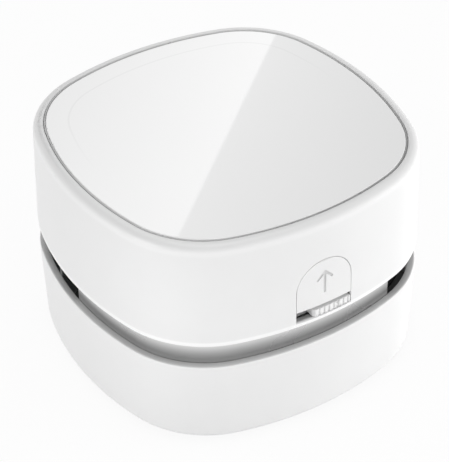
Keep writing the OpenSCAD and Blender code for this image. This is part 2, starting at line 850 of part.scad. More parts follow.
// The socket's outline moved in by an amount, a given length back from its mouth
module socket_tube(inset, l) {
    d = socket_h - 2 * inset;
    over = inset > 0 ? past : 0;
    mid_z = socket_z + socket_h / 2;
    x = (socket_w - socket_h) / 2;
    for (s = [-1, 1]) rod_y(s * x, mid_z, socket_y - l, socket_y + over, d);
    block(-x, x, socket_y - l, socket_y + over, mid_z - d / 2, mid_z + d / 2);
}

module charging_board_screws() color("silver") for (s = [-1, 1])
    translate([s * charge_board_screw_x, charge_board_screw_y, socket_z]) mirror([0, 0, 1])
        small_screw(3.4);

module status_light() color("white") {
    rod_y(light_x, light_z, charge_board_out - 2.4, half_w - 0.5, light_d);
    block(light_x - 1.2, light_x + 1.2, charge_board_out - 4, charge_board_out - 2,
        socket_z, light_z + 1);
}

// ---- Switch and button ----

module switch_board() color("green") difference() {
    half = switch_board_w / 2;
    block(-half, half, tower_front - board_t, tower_front, switch_board_z, switch_board_top);
    for (s = [-1, 1])
        rod_y(s * (half - board_screw_in), switch_board_top - board_screw_in,
            tower_front - board_t - past, tower_front + past, small_hole);
}

module switch_board_screws() color("silver") for (s = [-1, 1])
    translate([s * (switch_board_w / 2 - board_screw_in), tower_front - board_t,
        switch_board_top - board_screw_in]) rotate([-90, 0, 0]) small_screw(2.4);

module slide_switch() color("silver") difference() {
    block(stem_x - switch_travel / 2 - switch_body_w / 2, stem_x - switch_travel / 2 + switch_body_w / 2,
        switch_front, switch_front + switch_body_deep, switch_body_z, switch_body_z + switch_body_h);
    block(stem_x - switch_travel - stem_w / 2 - 0.3, stem_x + stem_w / 2 + 0.3,
        switch_front - 1, switch_front + stem_in + 0.2, stem_z - 0.15, stem_z + stem_h + 0.15);
}

module switch_stem() color("black")
    block(stem_x - stem_w / 2, stem_x + stem_w / 2, knob_back_y + 0.1, switch_front + stem_in,
        stem_z, stem_z + stem_h);

// A band of the front wall between two offsets
module front_band(a, b, z0, z1) {
    rotate([0, 0, -90]) side_part() strip(a, b, z0, z1);
}

// The front wall itself, cut back from its outer face by an amount
module front_wall(back, t) {
    low_z = unit_z + lip_r;
    high_z = rim_z - rim_r;
    rotate([0, 0, -90]) side_part()
        polygon([[flare - back - t, low_z], [flare - back, low_z], [-back, high_z], [-back - t, high_z]]);
}

module switch_knob() color("white") difference() {
    grip_w = 4.8;
    grip_deep = 1.5;
    union() {
        intersection() {
            front_wall(0, 4);
            block(knob_x, knob_x + knob_w, -half_w - 4, knob_flange_y + bite, knob_z, knob_z + knob_h);
        }
        block(knob_flange_x, knob_flange_x + knob_flange_w, knob_flange_y, knob_back_y,
            knob_flange_z, arch_z - 0.25);
        block(stem_x - grip_w / 2, stem_x + grip_w / 2, knob_flange_y, knob_back_y + grip_deep,
            knob_z, knob_z + knob_h);
    }
    for (x = [knob_x + 1.6:knob_pitch:knob_x + knob_w - 0.6])
        block(x - groove_w / 2, x + groove_w / 2, -half_w - 3, front_y(x, groove_deep),
            knob_z - past, knob_z + knob_h + past);
    block(stem_x - stem_w / 2 - run_fit, stem_x + stem_w / 2 + run_fit,
        knob_back_y, knob_back_y + grip_deep + past, stem_z - run_fit, stem_z + stem_h + run_fit);
}

module release_button() color("white") {
    flange_out = -shell_t - flange_gap;
    intersection() {
        front_wall(0, shell_t + flange_gap + bite);
        arch_prism(-seam, arch_z + 0.1);
    }
    intersection() {
        front_band(flange_out - flange_t, flange_out, arch_z + 0.1, rim_z);
        difference() {
            arch_prism(button_flange, arch_z + 0.1);
            block(-arch_w, -arch_r + seam, -half_w - 4, 0, 0, arch_z + 2);
            block(arch_r - seam, arch_w, -half_w - 4, 0, 0, arch_z + 2);
        }
    }
    rod_y(0, spring_z, -half_w + shell_t + flange_gap + flange_t / 2, leg_y - 0.1, 5);
}

module latch_arm() color("lightgray") {
    for (s = [-1, 1]) {
        mid = s * (leg_in + leg_w / 2);
        block(mid - leg_w / 2, mid + leg_w / 2, leg_y, leg_y + leg_t, nose_z - nose_fit, bridge_z + bite);
        block(mid - leg_w / 2, mid + leg_w / 2, nose_tip, leg_y + bite, nose_z, nose_z + nose_h);
    }
    block(-leg_in - leg_w, leg_in + leg_w, leg_y, leg_y + leg_t, bridge_z, bridge_z + bridge_h);
    flex_y = leg_y + leg_t - flex_t;
    tab_top = latch_top + latch_tab_t;
    block(-flex_w / 2, flex_w / 2, flex_y, leg_y + leg_t, bridge_z, tab_top);
    difference() {
        block(-flex_w / 2, flex_w / 2, flex_y, latch_post_y + latch_post_d / 2, latch_top, tab_top);
        hole(0, latch_post_y, latch_top, tab_top, small_hole);
    }
}

module latch_screw() color("silver") translate([0, latch_post_y, latch_top + latch_tab_t])
    mirror([0, 0, 1]) small_screw(5);

module release_spring() color("silver") difference() {
    rod_y(0, spring_z, leg_y + leg_t, tower_front, spring_d);
    rod_y(0, spring_z, leg_y + leg_t - past, tower_front + past, spring_d - 2 * spring_wire);
}

dust_box();
floor_plate();
floor_seal();
floor_screws();
rubber_feet();
brush_backings();
brush_bristles();
filter_frame();
filter_cloth();
filter_seal();
upper_shell();
trim_ring();
top_panel();
panel_backing();
neck_frame();
exhaust_foams();
shell_screws();
fan_cover();
fan_cover_screws();
fan();
motor_shaft();
motor_core();
motor_can();
motor_magnets();
motor_end_cap();
motor_terminals();
motor_gasket();
motor_screws();
cell_cradle();
battery_cell();
charging_board();
charging_socket();
charging_board_screws();
status_light();
switch_board();
slide_switch();
switch_stem();
switch_knob();
switch_board_screws();
release_button();
latch_arm();
latch_screw();
release_spring();
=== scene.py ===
# %% [markdown]
# # A desktop mini vacuum cleaner
#
# The measured model gives every part its place and its motion. This lesson gives the parts their
# looks: it keeps each part whose shape is right and only finishes its surface, and it models again,
# with softer edges or finer detail, the parts that the eye rests on.
#
# The first cell loads the model. Everything below is in metres, in the model's own frame.

# %% Load the model
import json
import math
import random

import bmesh
import bpy
from mathutils import Matrix, Vector


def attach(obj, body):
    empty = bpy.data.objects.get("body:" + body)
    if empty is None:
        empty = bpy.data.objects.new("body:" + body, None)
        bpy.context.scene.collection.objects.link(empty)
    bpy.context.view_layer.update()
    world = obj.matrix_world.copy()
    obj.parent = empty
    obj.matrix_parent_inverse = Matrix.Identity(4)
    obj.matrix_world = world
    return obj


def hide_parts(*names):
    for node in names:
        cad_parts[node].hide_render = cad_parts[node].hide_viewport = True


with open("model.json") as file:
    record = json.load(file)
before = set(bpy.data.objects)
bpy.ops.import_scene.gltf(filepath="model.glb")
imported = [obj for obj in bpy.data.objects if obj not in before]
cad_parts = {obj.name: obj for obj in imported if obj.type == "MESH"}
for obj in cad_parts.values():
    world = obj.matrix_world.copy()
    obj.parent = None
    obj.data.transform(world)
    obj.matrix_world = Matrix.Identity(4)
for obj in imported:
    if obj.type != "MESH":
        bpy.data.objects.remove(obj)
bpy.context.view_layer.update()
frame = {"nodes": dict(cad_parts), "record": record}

MM = 0.001
scene = bpy.context.scene
scene.view_settings.view_transform = "Standard"
print("parts loaded:", len(frame["nodes"]))

# %% [markdown]
# ## Camera
#
# The photograph looks down on the near left corner from about 38 degrees. A camera is a position,
# a turn and a lens. The position and the turn were solved from the outlines in the photograph, so
# they are written as the three directions that the camera calls right, up and back.

# %% Camera
camera_data = bpy.data.cameras.new("camera")
camera_data.lens = 146.3
camera_data.sensor_width = 36
camera_data.clip_start = 0.01
camera_data.clip_end = 20
camera = bpy.data.objects.new("camera", camera_data)
scene.collection.objects.link(camera)
scene.camera = camera

CAMERA_MM = Vector((-191.4, -309.5, 314.5))
back = Vector((-0.4127, -0.6684, 0.6189)).normalized()
right = Vector((0.8462, -0.5327, -0.0110))
right = (right - back * right.dot(back)).normalized()
turn = Matrix((right, back.cross(right), back)).transposed()
camera.matrix_world = Matrix.Translation(CAMERA_MM * MM) @ turn.to_4x4()
print("camera at", [round(v) for v in CAMERA_MM], "mm")

# %% [markdown]
# ## Writing materials
#
# A material is a graph of nodes. Written out node by node it is long and hard to read, so one small
# class wraps an output socket and lets Python's own operators add the Math nodes. A second class
# holds the material, and its one method adds any other node. Patterns read the object's own
# coordinates, turned into millimetres, so that a scale of 4 means four grains to the millimetre.

# %% Sockets that can be added and multiplied
class Wire:
    """An output socket. An operator on it adds a Math node."""

    def __init__(self, finish, socket):
        self.finish = finish
        self.socket = socket

    def math(self, operation, *values):
        return self.finish.add("Math", {"operation": operation}, dict(enumerate(values)))

    def __add__(self, other):
        return self.math("ADD", self, other)

    def __sub__(self, other):
        return self.math("SUBTRACT", self, other)

    def __rsub__(self, other):
        return self.math("SUBTRACT", other, self)

    def __mul__(self, other):
        return self.math("MULTIPLY", self, other)

    def __truediv__(self, other):
        return self.math("DIVIDE", self, other)

    def __abs__(self):
        return self.math("ABSOLUTE", self)

    def __gt__(self, other):
        return self.math("GREATER_THAN", self, other)

    def __lt__(self, other):
        return self.math("LESS_THAN", self, other)

    def root(self):
        return self.math("SQRT", self)

    def smaller(self, other):
        return self.math("MINIMUM", self, other)

    def larger(self, other):
        return self.math("MAXIMUM", self, other)

    def step(self, low, high):
        """0 up to low, 1 from high, and a smooth rise between."""
        inputs = {"Value": self, "From Min": low, "From Max": high}
        return self.finish.add("MapRange", {"interpolation_type": "SMOOTHSTEP"}, inputs)

    __radd__ = __add__
    __rmul__ = __mul__


class Finish:
    """A material, world or light under construction."""

    def __init__(self, owner):
        self.owner = owner
        owner.use_nodes = True
        self.tree = owner.node_tree
        self.tree.nodes.clear()

    def add(self, kind, settings=None, inputs=None, out=0):
        node = self.tree.nodes.new("ShaderNode" + kind)
        for key, value in (settings or {}).items():
            setattr(node, key, value)
        for key, value in (inputs or {}).items():
            if isinstance(value, Wire):
                self.tree.links.new(value.socket, node.inputs[key])
            else:
                node.inputs[key].default_value = value
        return Wire(self, node.outputs[out]) if len(node.outputs) else None

    def place(self):
        """The point on the surface, in millimetres."""
        metres = self.add("TexCoord", out="Object")
        return self.add("VectorMath", {"operation": "SCALE"}, {0: metres, "Scale": 1000.0})

    def axes(self, point):
        return [self.add("SeparateXYZ", {}, {0: point}, out=k) for k in range(3)]

    def mix(self, mask, first, second):
        return self.add("Mix", {"data_type": "RGBA"}, {0: mask, 6: first, 7: second}, out=2)

    def cloud(self, point, scale, detail=2.0):
        return self.add("TexNoise", {}, {"Vector": point, "Scale": scale, "Detail": detail})

    def surface(self, colour, roughness, height=None, depth=0.0, **fixed):
        """The usual surface: depth is the height of the relief in millimetres."""
        inputs = {"Base Color": colour, "Roughness": roughness}
        inputs.update({key.replace("_", " "): value for key, value in fixed.items()})
        if height is not None:
            relief = {"Height": height, "Distance": depth * MM, "Strength": 1.0}
            inputs["Normal"] = self.add("Bump", {}, relief)
        shader = self.add("BsdfPrincipled", {}, inputs)
        self.add("OutputMaterial", {}, {"Surface": shader})
        return self.owner


def new_finish(name):
    return Finish(bpy.data.materials.new(name))


def grey(level):
    return (level, level, level, 1.0)


print("ready to write materials")

# %% [markdown]
# ## Floor, background and light
#
# The object stands on a white floor in front of white. If the lamps alone made the floor white,
# they would burn the white object out, so the floor shows mostly its own white to the camera and
# only a little of the light and shadow on it. The background does the same with the world.

# %% Floor
FLOOR_SHOWN = 0.92


def link(name, mesh):
    made = bpy.data.objects.new(name, mesh)
    scene.collection.objects.link(made)
    return made


def sheet_mesh(name, half):
    bm = bmesh.new()
    bmesh.ops.create_grid(bm, x_segments=1, y_segments=1, size=half)
    mesh = bpy.data.meshes.new(name)
    bm.to_mesh(mesh)
    bm.free()
    return mesh


def seen_directly(f):
    """1 where the camera or a mirror sees the surface, 0 where it lights another."""
    return f.add("LightPath", out="Is Camera Ray").larger(f.add("LightPath", out="Is Glossy Ray"))


floor = link("floor", sheet_mesh("floor", 3.0))
f = new_finish("floor_white")
shown = seen_directly(f) * FLOOR_SHOWN
lit = f.add("BsdfDiffuse", {}, {"Color": grey(0.78)})
plain = f.add("Emission", {}, {"Color": grey(1.0), "Strength": 1.0})
f.add("OutputMaterial", {}, {"Surface": f.add("MixShader", {}, {0: shown, 1: lit, 2: plain})})
floor.data.materials.append(f.owner)
print("floor shows", FLOOR_SHOWN, "of its own white")

# %% World
world = bpy.data.worlds.new("studio")
scene.world = world
f = Finish(world)
WORLD_LIGHT = 0.60
strength = seen_directly(f) * (1 - WORLD_LIGHT) + WORLD_LIGHT
backdrop = f.add("Background", {}, {"Color": grey(1.0), "Strength": strength})
f.add("OutputWorld", {}, {"Surface": backdrop})
print("world light", WORLD_LIGHT)

# %% [markdown]
# Three large soft lamps stand far off, to the right, to the left and above, and model the form. A
# few small weak ones stand close to the near corner and the right side, like white cards held there.
# Light from close by fades fast with distance, and that gives the two bright bands on the sides,
# with a soft dip between them, that no far lamp can give. The lamps on the right aren't mirrored,
# because their mirror images would burn out the panel and the edge of the wall.

# %% Lamps
def lamp(name, place_mm, size_mm, watts, aim_mm=(0, 0, 30), glossy=True):
    data = bpy.data.lights.new(name, "AREA")
    data.energy = watts
    data.size = size_mm * MM
    made = link(name, data)
    made.location = Vector(place_mm) * MM
    made.rotation_euler = (Vector(aim_mm) - Vector(place_mm)).to_track_quat("-Z", "Y").to_euler()
    made.visible_camera = False
    made.visible_glossy = glossy
    return made


lamp("right_softbox", (980, -700, 350), 600, 5.7, glossy=False)
lamp("left_softbox", (-1200, 0, 350), 600, 2.95)
lamp("top_softbox", (0, 0, 1200), 700, 3.7)
lamp("right_card", (200, -120, 40), 100, 0.074, aim_mm=(20, -10, 35), glossy=False)
lamp("corner_card", (-64, -64, 45), 20, 0.0030, aim_mm=(-20, -20, 35), glossy=False)
lamp("corner_fill", (-100, -100, 30), 40, 0.0029, aim_mm=(-20, -20, 30), glossy=False)

# %% [markdown]
# The polished panel mirrors the studio. In the photograph half of it mirrors a bright card and
# the other half a darker one, and the border between them crosses the panel. A card that only
# mirrors can see does this: a point P on the panel mirrors the point Q where the line from the
# camera's mirror image through P meets the card. The card lies three times as far from that image
# as the panel, so Q is 3 P minus twice the image's place.

# %% Mirrored card
PANEL_TOP = 59.0
TIMES_AS_FAR = 3
image_of_camera = Vector((CAMERA_MM.x, CAMERA_MM.y, 2 * PANEL_TOP - CAMERA_MM.z))
card_middle = Vector((0, 0, TIMES_AS_FAR * PANEL_TOP)) - (TIMES_AS_FAR - 1) * image_of_camera
card = link("mirrored_card", sheet_mesh("mirrored_card", 0.5))
card.location = card_middle * MM
card.visible_camera = card.visible_diffuse = card.visible_shadow = False

# Both ends of the border on the panel, read from the photograph.
border_from, border_to = Vector((32.3, 27.1)), Vector((-31.0, -30.1))
along = (border_to - border_from).normalized()
across = Vector((along.y, -along.x))
f = new_finish("card_light")
x, y, _ = f.axes(f.place())
on_panel = x / TIMES_AS_FAR, y / TIMES_AS_FAR
far = (on_panel[0] - border_from.x) * across.x + (on_panel[1] - border_from.y) * across.y
bright = 3.2 - 0.035 * far
dim = (1.5 + 0.032 * far).larger(0.05)
side = far.step(-0.2, 0.2)
strength = side * (bright - dim) + dim
f.add("OutputMaterial", {}, {"Surface": f.add("Emission", {}, {"Strength": strength})})
card.data.materials.append(f.owner)
print("card across direction", [round(v, 3) for v in across])

# %% [markdown]
# ## Finishes
#
# Every finish is worked out from the point on the surface, so nothing has to be unwrapped. The two
# covers also need to know how far a point lies inside or outside the plan outline, because their
# rim, their wall and their inside get different painted shade and highlights. The outline is made of
# arcs, so that distance is a distance from an arc's centre less its radius. Folding the point into
# one eighth of the plan leaves only two arcs to tell apart: a flat one along the side and a tight one
# round the corner, which meet without a kink at SEAM from the middle of the side.

# %% Distance from the plan outline
HALF_W = 42.2
SPREAD = 52.5
OFFSET = 0.28
CORNER = OFFSET * SPREAD
SIDE = 0.68 * SPREAD
SEAM = math.asin(OFFSET)
SIDE_R = HALF_W + SIDE
CORNER_R = SIDE_R - SPREAD


def distance(x, y):
    return (x * x + y * y).root()


def outward(x, y):
    """Millimetres outwards from the outline of the rim, for a point in the plan."""
    across, along = abs(x).larger(abs(y)), abs(x).smaller(abs(y))
    side = distance(across + SIDE, along) - SIDE_R
    corner = distance(across - CORNER, along - CORNER) - CORNER_R
    at_corner = along > (across + SIDE) * math.tan(SEAM)
    return at_corner * (corner - side) + side


print("side and corner radius:", round(SIDE_R, 1), round(CORNER_R, 1), "mm")

# %% [markdown]
# Moulded plastic is never one flat tone. It has a fine even grain from the mould, a trace of
# cloudiness in tone and gloss, and on hidden parts a coarser spark-eroded texture. One function
# gives all of these, and what a part adds to them, such as painted shade on its inside or a painted
# highlight on a lip, is a mask on its tone. The wall of the neck is lacquered silver, so it is
# partly a metal, and painted shade darkens it towards its foot.

# %% Moulded plastics
PER_MM, GRAIN_DEPTH = 4.0, 0.0015


def plastic(name, level, roughness, shade=None, **fixed):
    """Moulded plastic. Shade takes x, y and z and returns a factor for the tone: painted shade and
    highlights.
    """
    f = new_finish(name)
    point = f.place()
    drift = f.cloud(point, 0.09)
    colour = f.mix(drift, grey(level * 0.985), grey(level * 1.015))
    if shade:
        colour = f.add("VectorMath", {"operation": "SCALE"}, {0: colour, "Scale": shade(*f.axes(point))})
    rough = drift * 0.06 + (roughness - 0.03)
    return f.surface(colour, rough, f.cloud(point, PER_MM), GRAIN_DEPTH, **fixed)


UPPER_LOW, RIM_TOP, LOWER_TOP = 30.7, 59.0, 24.5
FLARE = 0.75
SLOPE = FLARE / (RIM_TOP - UPPER_LOW)


def wall_out(z):
    """How far the upper wall stands out from the outline of the rim at a height."""
    return (RIM_TOP - z) * SLOPE


def upper_shade(x, y, z):
    """Painted shade on the rim's rounding and inside the wall; painted highlights under the rim and on the
    lower lip.
    """
    out = outward(x, y)
    # Painted shade greys the rim's rounding, and more towards the rim's inner edge.
    rim = z.step(57.3, 58.7) * -0.22 - out.step(-1.9, -2.62) * (z > 58) * 0.12
    # A painted highlight: a faint light band round the wall just under the rim.
    painted_rim_highlight = z.step(56.0, 56.9) * (1 - z.step(57.1, 57.8)) * 0.03
    # A painted highlight: the lower lip is painted lighter.
    lip = (1 - z.step(31.75, 32.3)) * 0.14
    # Painted shade: the inside of the wall and the floor of the slot are painted darker.
    inside = (wall_out(z) - out).step(0.25, 1.3) * -0.7 * (z < 56.5)
    return (rim + painted_rim_highlight + lip + 1) * (inside + 1)


def lower_shade(x, y, z):
    """Painted shade on the ledge under the neck, most at its inner edge, and painted shade inside."""
    out = outward(x, y)
    # Painted shade greys the top of the ledge, most at its inner edge.
    ledge = z.step(LOWER_TOP - 0.2, LOWER_TOP - 0.08) * (out.step(-1.0, 0.5) * 0.14 - 0.40)
    # Painted shade darkens the inside of the box below the ledge.
    inside = (out < z * (FLARE / LOWER_TOP) - 0.6) * (z < LOWER_TOP - 0.3) * -0.3
    return (ledge + 1) * (inside + 1)


def neck_shade(x, y, z):
    """Painted shade: the neck darkens towards its foot, and its inside and its windows' edges are darker
    still.
    """
    # Painted shade: the tone rises from the foot of the neck to its top.
    climb = z.step(26.0, 32.0)
    foot = 1 - z.step(24.6, 26.0)
    # Painted shade: faces more than 1.3 mm in, the inside and the windows' edges, keep only the darkest tone.
    outer = outward(x, y) > -1.3
    return (climb + foot * 0.25 + 0.12) * outer + 0.30


# The shade functions paint shade and highlights into these whites and into the neck's silver.
cover_white = plastic("cover_white", 0.86, 0.30, shade=upper_shade)
white_plastic = plastic("satin_white", 0.86, 0.30)
lower_white = plastic("lower_white", 0.86, 0.30, shade=lower_shade)
neck_silver = plastic("neck_silver", 0.70, 0.28, shade=neck_shade, Metallic=0.7)
backing_white = plastic("backing_white", 0.84, 0.40)

# %% [markdown]
# Hidden mouldings are grey or charcoal with a coarse texture that has rubbed bright in patches. They
# also show faint flow lines, where the melt ran away from the gate in the middle.

# %% Hidden mouldings
def textured(name, level, roughness, rubbed=1.25):
    f = new_finish(name)
    point = f.place()
    x, y, _ = f.axes(point)
    cells = {"Vector": point, "Scale": 2.6, "Smoothness": 0.6}
    grain = f.add("TexVoronoi", {"feature": "SMOOTH_F1"}, cells)
    rays = f.add("CombineXYZ", {}, {"X": distance(x, y) * 0.8, "Y": x * 0.05, "Z": y * 0.05})
    stretched = f.cloud(rays, 0.5)
    flow = f.mix(stretched, grey(level * 0.94), grey(level * 1.05))
    worn = f.cloud(point, 0.35, 5).step(0.62, 0.72) * 0.5
    colour = f.mix(worn, flow, grey(min(level * rubbed, 0.9)))
    return f.surface(colour, grain * 0.10 + roughness - worn * 0.12, grain, 0.012)


grey_plastic = textured("light_grey_plastic", 0.50, 0.42)
dark_plastic = textured("dark_plastic", 0.032, 0.45, rubbed=1.8)

# %% [markdown]
# The panel is clear plastic, white on its back. The photograph shows a faint second line inside
# the far edge, a reflection of the plate's own edge in the clear plastic, so the panel gets a
# painted reflection: a line 5.5 mm in that fades towards the sides. Its ring is a thin strip of
# satin metal with a fine grain along it. The other metals are here too: each has a grain that is
# stretched the way it was turned, pressed or drawn.

# %% Panel and ring
PANEL_IN, LINE_IN = 3.09, 5.5
f = new_finish("polished_panel")
point = f.place()
x, y, _ = f.axes(point)
off_line = abs(outward(x, y) + (PANEL_IN + LINE_IN))
# Painted reflection of the plate's edge: a greyer line 5.5 mm in, fading towards the sides.
line = (1 - off_line.step(0.10, 0.35)) * y.step(-2.0, 26.0) * 0.55
drift = f.cloud(point, 0.05)
clear = f.mix(drift, grey(0.775), grey(0.785))
panel_polish = f.surface(f.mix(line, clear, grey(0.70)), drift * 0.01 + 0.020)


def metal(name, colour, roughness, stretch, **fixed):
    """Metal with a grain: stretch is how fast the grain changes along X, Y and Z."""
    f = new_finish(name)
    point = f.place()
    grain = f.cloud(f.add("VectorMath", {"operation": "MULTIPLY"}, {0: point, 1: stretch}), 1.0, 4)
    handled = f.cloud(point, 0.3, 3).step(0.35, 0.75)
    dark, light = [(*(c * k for c in colour), 1.0) for k in (0.9, 1.1)]
    rough = grain * 0.08 + handled * 0.07 + (roughness - 0.06)
    return f.surface(f.mix(grain, dark, light), rough, grain, 0.002, **fixed)


STEEL = (0.58, 0.58, 0.60)
trim_metal = metal("trim_satin", (0.35, 0.35, 0.35), 0.30, (0.6, 0.6, 6.0), Metallic=0.6)
turned_steel = metal("turned_steel", STEEL, 0.30, (0.15, 0.15, 9.0), Metallic=1.0)
pressed_steel = metal("pressed_steel", STEEL, 0.28, (0.4, 7.0, 7.0), Metallic=1.0)
screw_steel = metal("screw_steel", (0.50, 0.51, 0.53), 0.34, (3.0, 3.0, 3.0), Metallic=1.0)
bright_brass = metal("bright_brass", (0.72, 0.55, 0.30), 0.25, (5.0, 1.0, 1.0), Metallic=1.0)
print("metals ready")

# %% [markdown]
# The soft materials. Rubber is matte with a fine grain and lighter where it has been scuffed. The
# foam is an open sponge: its cells are the cells of a Voronoi pattern, dark in the middle of each
# and a little lighter on the walls between. It has almost no gloss, so that the windows look deep.
# The fleece of the filter is two sets of stretched noise laid across each other like fibres, and
# where the air passes it has taken on some dust.

# %% Rubber, foam, fleece and bristles
f = new_finish("grey_rubber")
point = f.place()
grain = f.cloud(point, 5.0, 4)
scuffed = f.cloud(point, 0.6, 4).step(0.5, 0.75)
rubber = f.surface(f.mix(scuffed, grey(0.075), grey(0.12)), 0.72 - scuffed * 0.1, grain, 0.02)

f = new_finish("open_foam")
point = f.place()
cell = f.add("TexVoronoi", {"feature": "DISTANCE_TO_EDGE"}, {"Vector": point, "Scale": 1.9})
walls = 1 - cell.step(0.02, 0.16)
foam = f.surface(f.mix(walls, grey(0.008), grey(0.045)), 0.95, walls, 0.25, Specular_IOR_Level=0.05)

f = new_finish("fleece")
point = f.place()
x, y, z = f.axes(point)
along_x = f.cloud(f.add("CombineXYZ", {}, {"X": x * 0.7, "Y": y * 7, "Z": z}), 1.0, 3)
along_y = f.cloud(f.add("CombineXYZ", {}, {"X": x * 7, "Y": y * 0.7, "Z": z + 40}), 1.0, 3)
fibres = along_x.larger(along_y)
dusty = (1 - distance(x, y).step(20, 30)) * f.cloud(point, 0.25, 3).step(0.3, 0.7)
cloth_white = f.mix(fibres.step(0.4, 0.75), grey(0.60), grey(0.80))
DUST = (0.50, 0.47, 0.43, 1.0)
fleece = f.surface(f.mix(dusty * 0.5, cloth_white, DUST), 0.95, fibres, 0.12, Sheen_Weight=0.3)

f = new_finish("nylon_strands")
point = f.place()
_, _, z = f.axes(point)
tips = 1 - z.step(0.3, 2.0)
streak = f.cloud(point, 3.0)
nylon = f.surface(f.mix(streak, f.mix(tips, grey(0.05), grey(0.16)), grey(0.10)), 0.45, streak, 0.01)

# %% [markdown]
# The electric parts. A circuit board is green lacquer over copper tracks, so the tracks show as
# slightly lighter lines. They come from two sets of stripes, one of them slanted, and a coarse
# noise decides where each set shows. The cell has a blue sleeve that shrinks tight over its ends, and the
# bare metal end shows beyond it. The rotor's winding is a stack of fine copper turns.

# %% Boards, cell, winding and light
def waves(f, point, way, **inputs):
    """Stripes that rise and fall between 0 and 1."""
    inputs = {"Vector": point, **inputs}
    return f.add("TexWave", {"wave_type": "BANDS", "bands_direction": way}, inputs, out=1)


f = new_finish("board_green")
point = f.place()
here = f.cloud(point, 0.16, 0)
across_tracks = (waves(f, point, "X", Scale=0.5) > 0.82) * here.step(0.50, 0.52)
slanted_tracks = (waves(f, point, "DIAGONAL", Scale=0.5) > 0.85) * (1 - here.step(0.46, 0.48))
tracks = across_tracks + slanted_tracks
lacquer = f.mix(tracks, (0.012, 0.10, 0.040, 1.0), (0.03, 0.20, 0.085, 1.0))
board = f.surface(lacquer, 0.30 - tracks * 0.06, tracks, 0.035, Coat_Weight=0.3)

f = new_finish("cell_sleeve")
point = f.place()
x, y, z = f.axes(point)
BARE_FROM = 23.4
bare = abs(x) > BARE_FROM
creases = f.cloud(f.add("CombineXYZ", {}, {"X": x * 0.1, "Y": y * 1.6, "Z": z * 1.6}), 1.0, 2)
creased = abs(x).step(20.5, 23.2) * creases
sleeve = f.mix(f.cloud(point, 0.2), (0.030, 0.145, 0.34, 1.0), (0.040, 0.175, 0.39, 1.0))
sleeve = f.mix(bare, sleeve, grey(0.55))
cell_wrap = f.surface(sleeve, 0.32 - creased * 0.1, creased, 0.3, Metallic=bare)

f = new_finish("copper_winding")
point = f.place()
turns = waves(f, point, "Z", Scale=1.1, Distortion=0.4)
wire = f.mix(turns, (0.30, 0.11, 0.05, 1.0), (0.78, 0.36, 0.20, 1.0))
winding = f.surface(wire, 0.32, turns, 0.12, Metallic=1.0)

f = new_finish("milky_lens")
point = f.place()
milk = f.cloud(point, 0.8)
lens = f.surface(f.mix(milk, grey(0.72), grey(0.80)), 0.16 + milk * 0.05, Coat_Weight=0.5)
print("finishes:", len(bpy.data.materials))

# %% [markdown]
# The parts whose CAD shape is right keep it and take one of these finishes. The record's finish
# slot picks it, and a few parts have one of their own.

# %% Finish the carried-over parts
BY_SLOT = {
    "white_plastic": white_plastic, "clear_panel": panel_polish, "panel_white": backing_white,
    "trim_grey": trim_metal, "grey_plastic": grey_plastic, "dark_plastic": dark_plastic,
    "steel": screw_steel, "rubber": rubber, "foam": foam, "nylon": nylon, "filter_felt": fleece,
    "copper": winding, "board": board, "cell_wrap": cell_wrap,
}
BY_NODE = {
    "neck_frame": neck_silver, "motor_can": turned_steel, "motor_shaft": turned_steel,
    "charging_socket": pressed_steel, "slide_switch": pressed_steel, "motor_terminals": bright_brass,
    "status_light": lens,
}
for part in frame["record"]["subparts"]:
    finish = BY_NODE.get(part["node"], BY_SLOT[part["material_slot"]])
    for holder in frame["nodes"][part["node"]].material_slots:
        holder.material = finish

# %% [markdown]
# ## Tools for the new pieces
#
# Nearly every piece here is one profile taken along a path. A profile is drawn as a wire of a few
# corners, each with its own rounding, which a bevel of the corner's vertex makes. Turning the wire
# about an axis gives feet and rings. Taking it round the plan outline gives the covers: the outline
# is eight arcs that meet without a kink, so eight short spins do it, each about its own centre.

# %% Rounded profiles
def rounded(bm, corners, steps=6, closed=True):
    """A wire through corners (across, height, rounding) in millimetres, in the XZ plane."""
    verts = [bm.verts.new((x * MM, 0, z * MM)) for x, z, _ in corners]
    ends = verts[1:] + (verts[:1] if closed else [])
    for start, end in zip(verts, ends):
        bm.edges.new((start, end))
    for vert, (_, _, radius) in zip(verts, corners):
        if radius:
            one, other = [edge.other_vert(vert).co - vert.co for edge in vert.link_edges]
            bmesh.ops.bevel(bm, geom=[vert], offset=radius * MM / math.tan(one.angle(other) / 2),
                            offset_type="OFFSET", affect="VERTICES", segments=steps, profile=0.5,
                            material=-1, clamp_overlap=False)
    bmesh.ops.remove_doubles(bm, verts=bm.verts, dist=1e-6)


def spun(bm, geom, centre, angle, steps):
    """Spins the geometry about an upright axis and returns its last copy."""
    out = bmesh.ops.spin(bm, geom=geom, cent=(centre[0] * MM, centre[1] * MM, 0), axis=(0, 0, 1),
                         dvec=(0, 0, 0), angle=angle, space=Matrix.Identity(4), steps=steps,
                         use_merge=False, use_normal_flip=False, use_duplicate=False)
    return out["geom_last"]


def closed_up(bm):
    bmesh.ops.remove_doubles(bm, verts=bm.verts, dist=1e-6)
    bmesh.ops.recalc_face_normals(bm, faces=bm.faces)
    return bm


# %% Turning and sweeping
OUTLINE = [((-SIDE, 0), SEAM, 10), ((CORNER, CORNER), math.pi / 2 - 2 * SEAM, 24)]
for centre in [(0, -SIDE), (SIDE, 0), (0, SIDE)]:
    sign = {(0, -SIDE): (-1, 1), (SIDE, 0): (-1, -1), (0, SIDE): (1, -1)}[centre]
    OUTLINE.append((centre, 2 * SEAM, 48 if centre == (0, SIDE) else 24))
    OUTLINE.append(((sign[0] * CORNER, sign[1] * CORNER), math.pi / 2 - 2 * SEAM, 24))
OUTLINE.append(((-SIDE, 0), SEAM, 10))


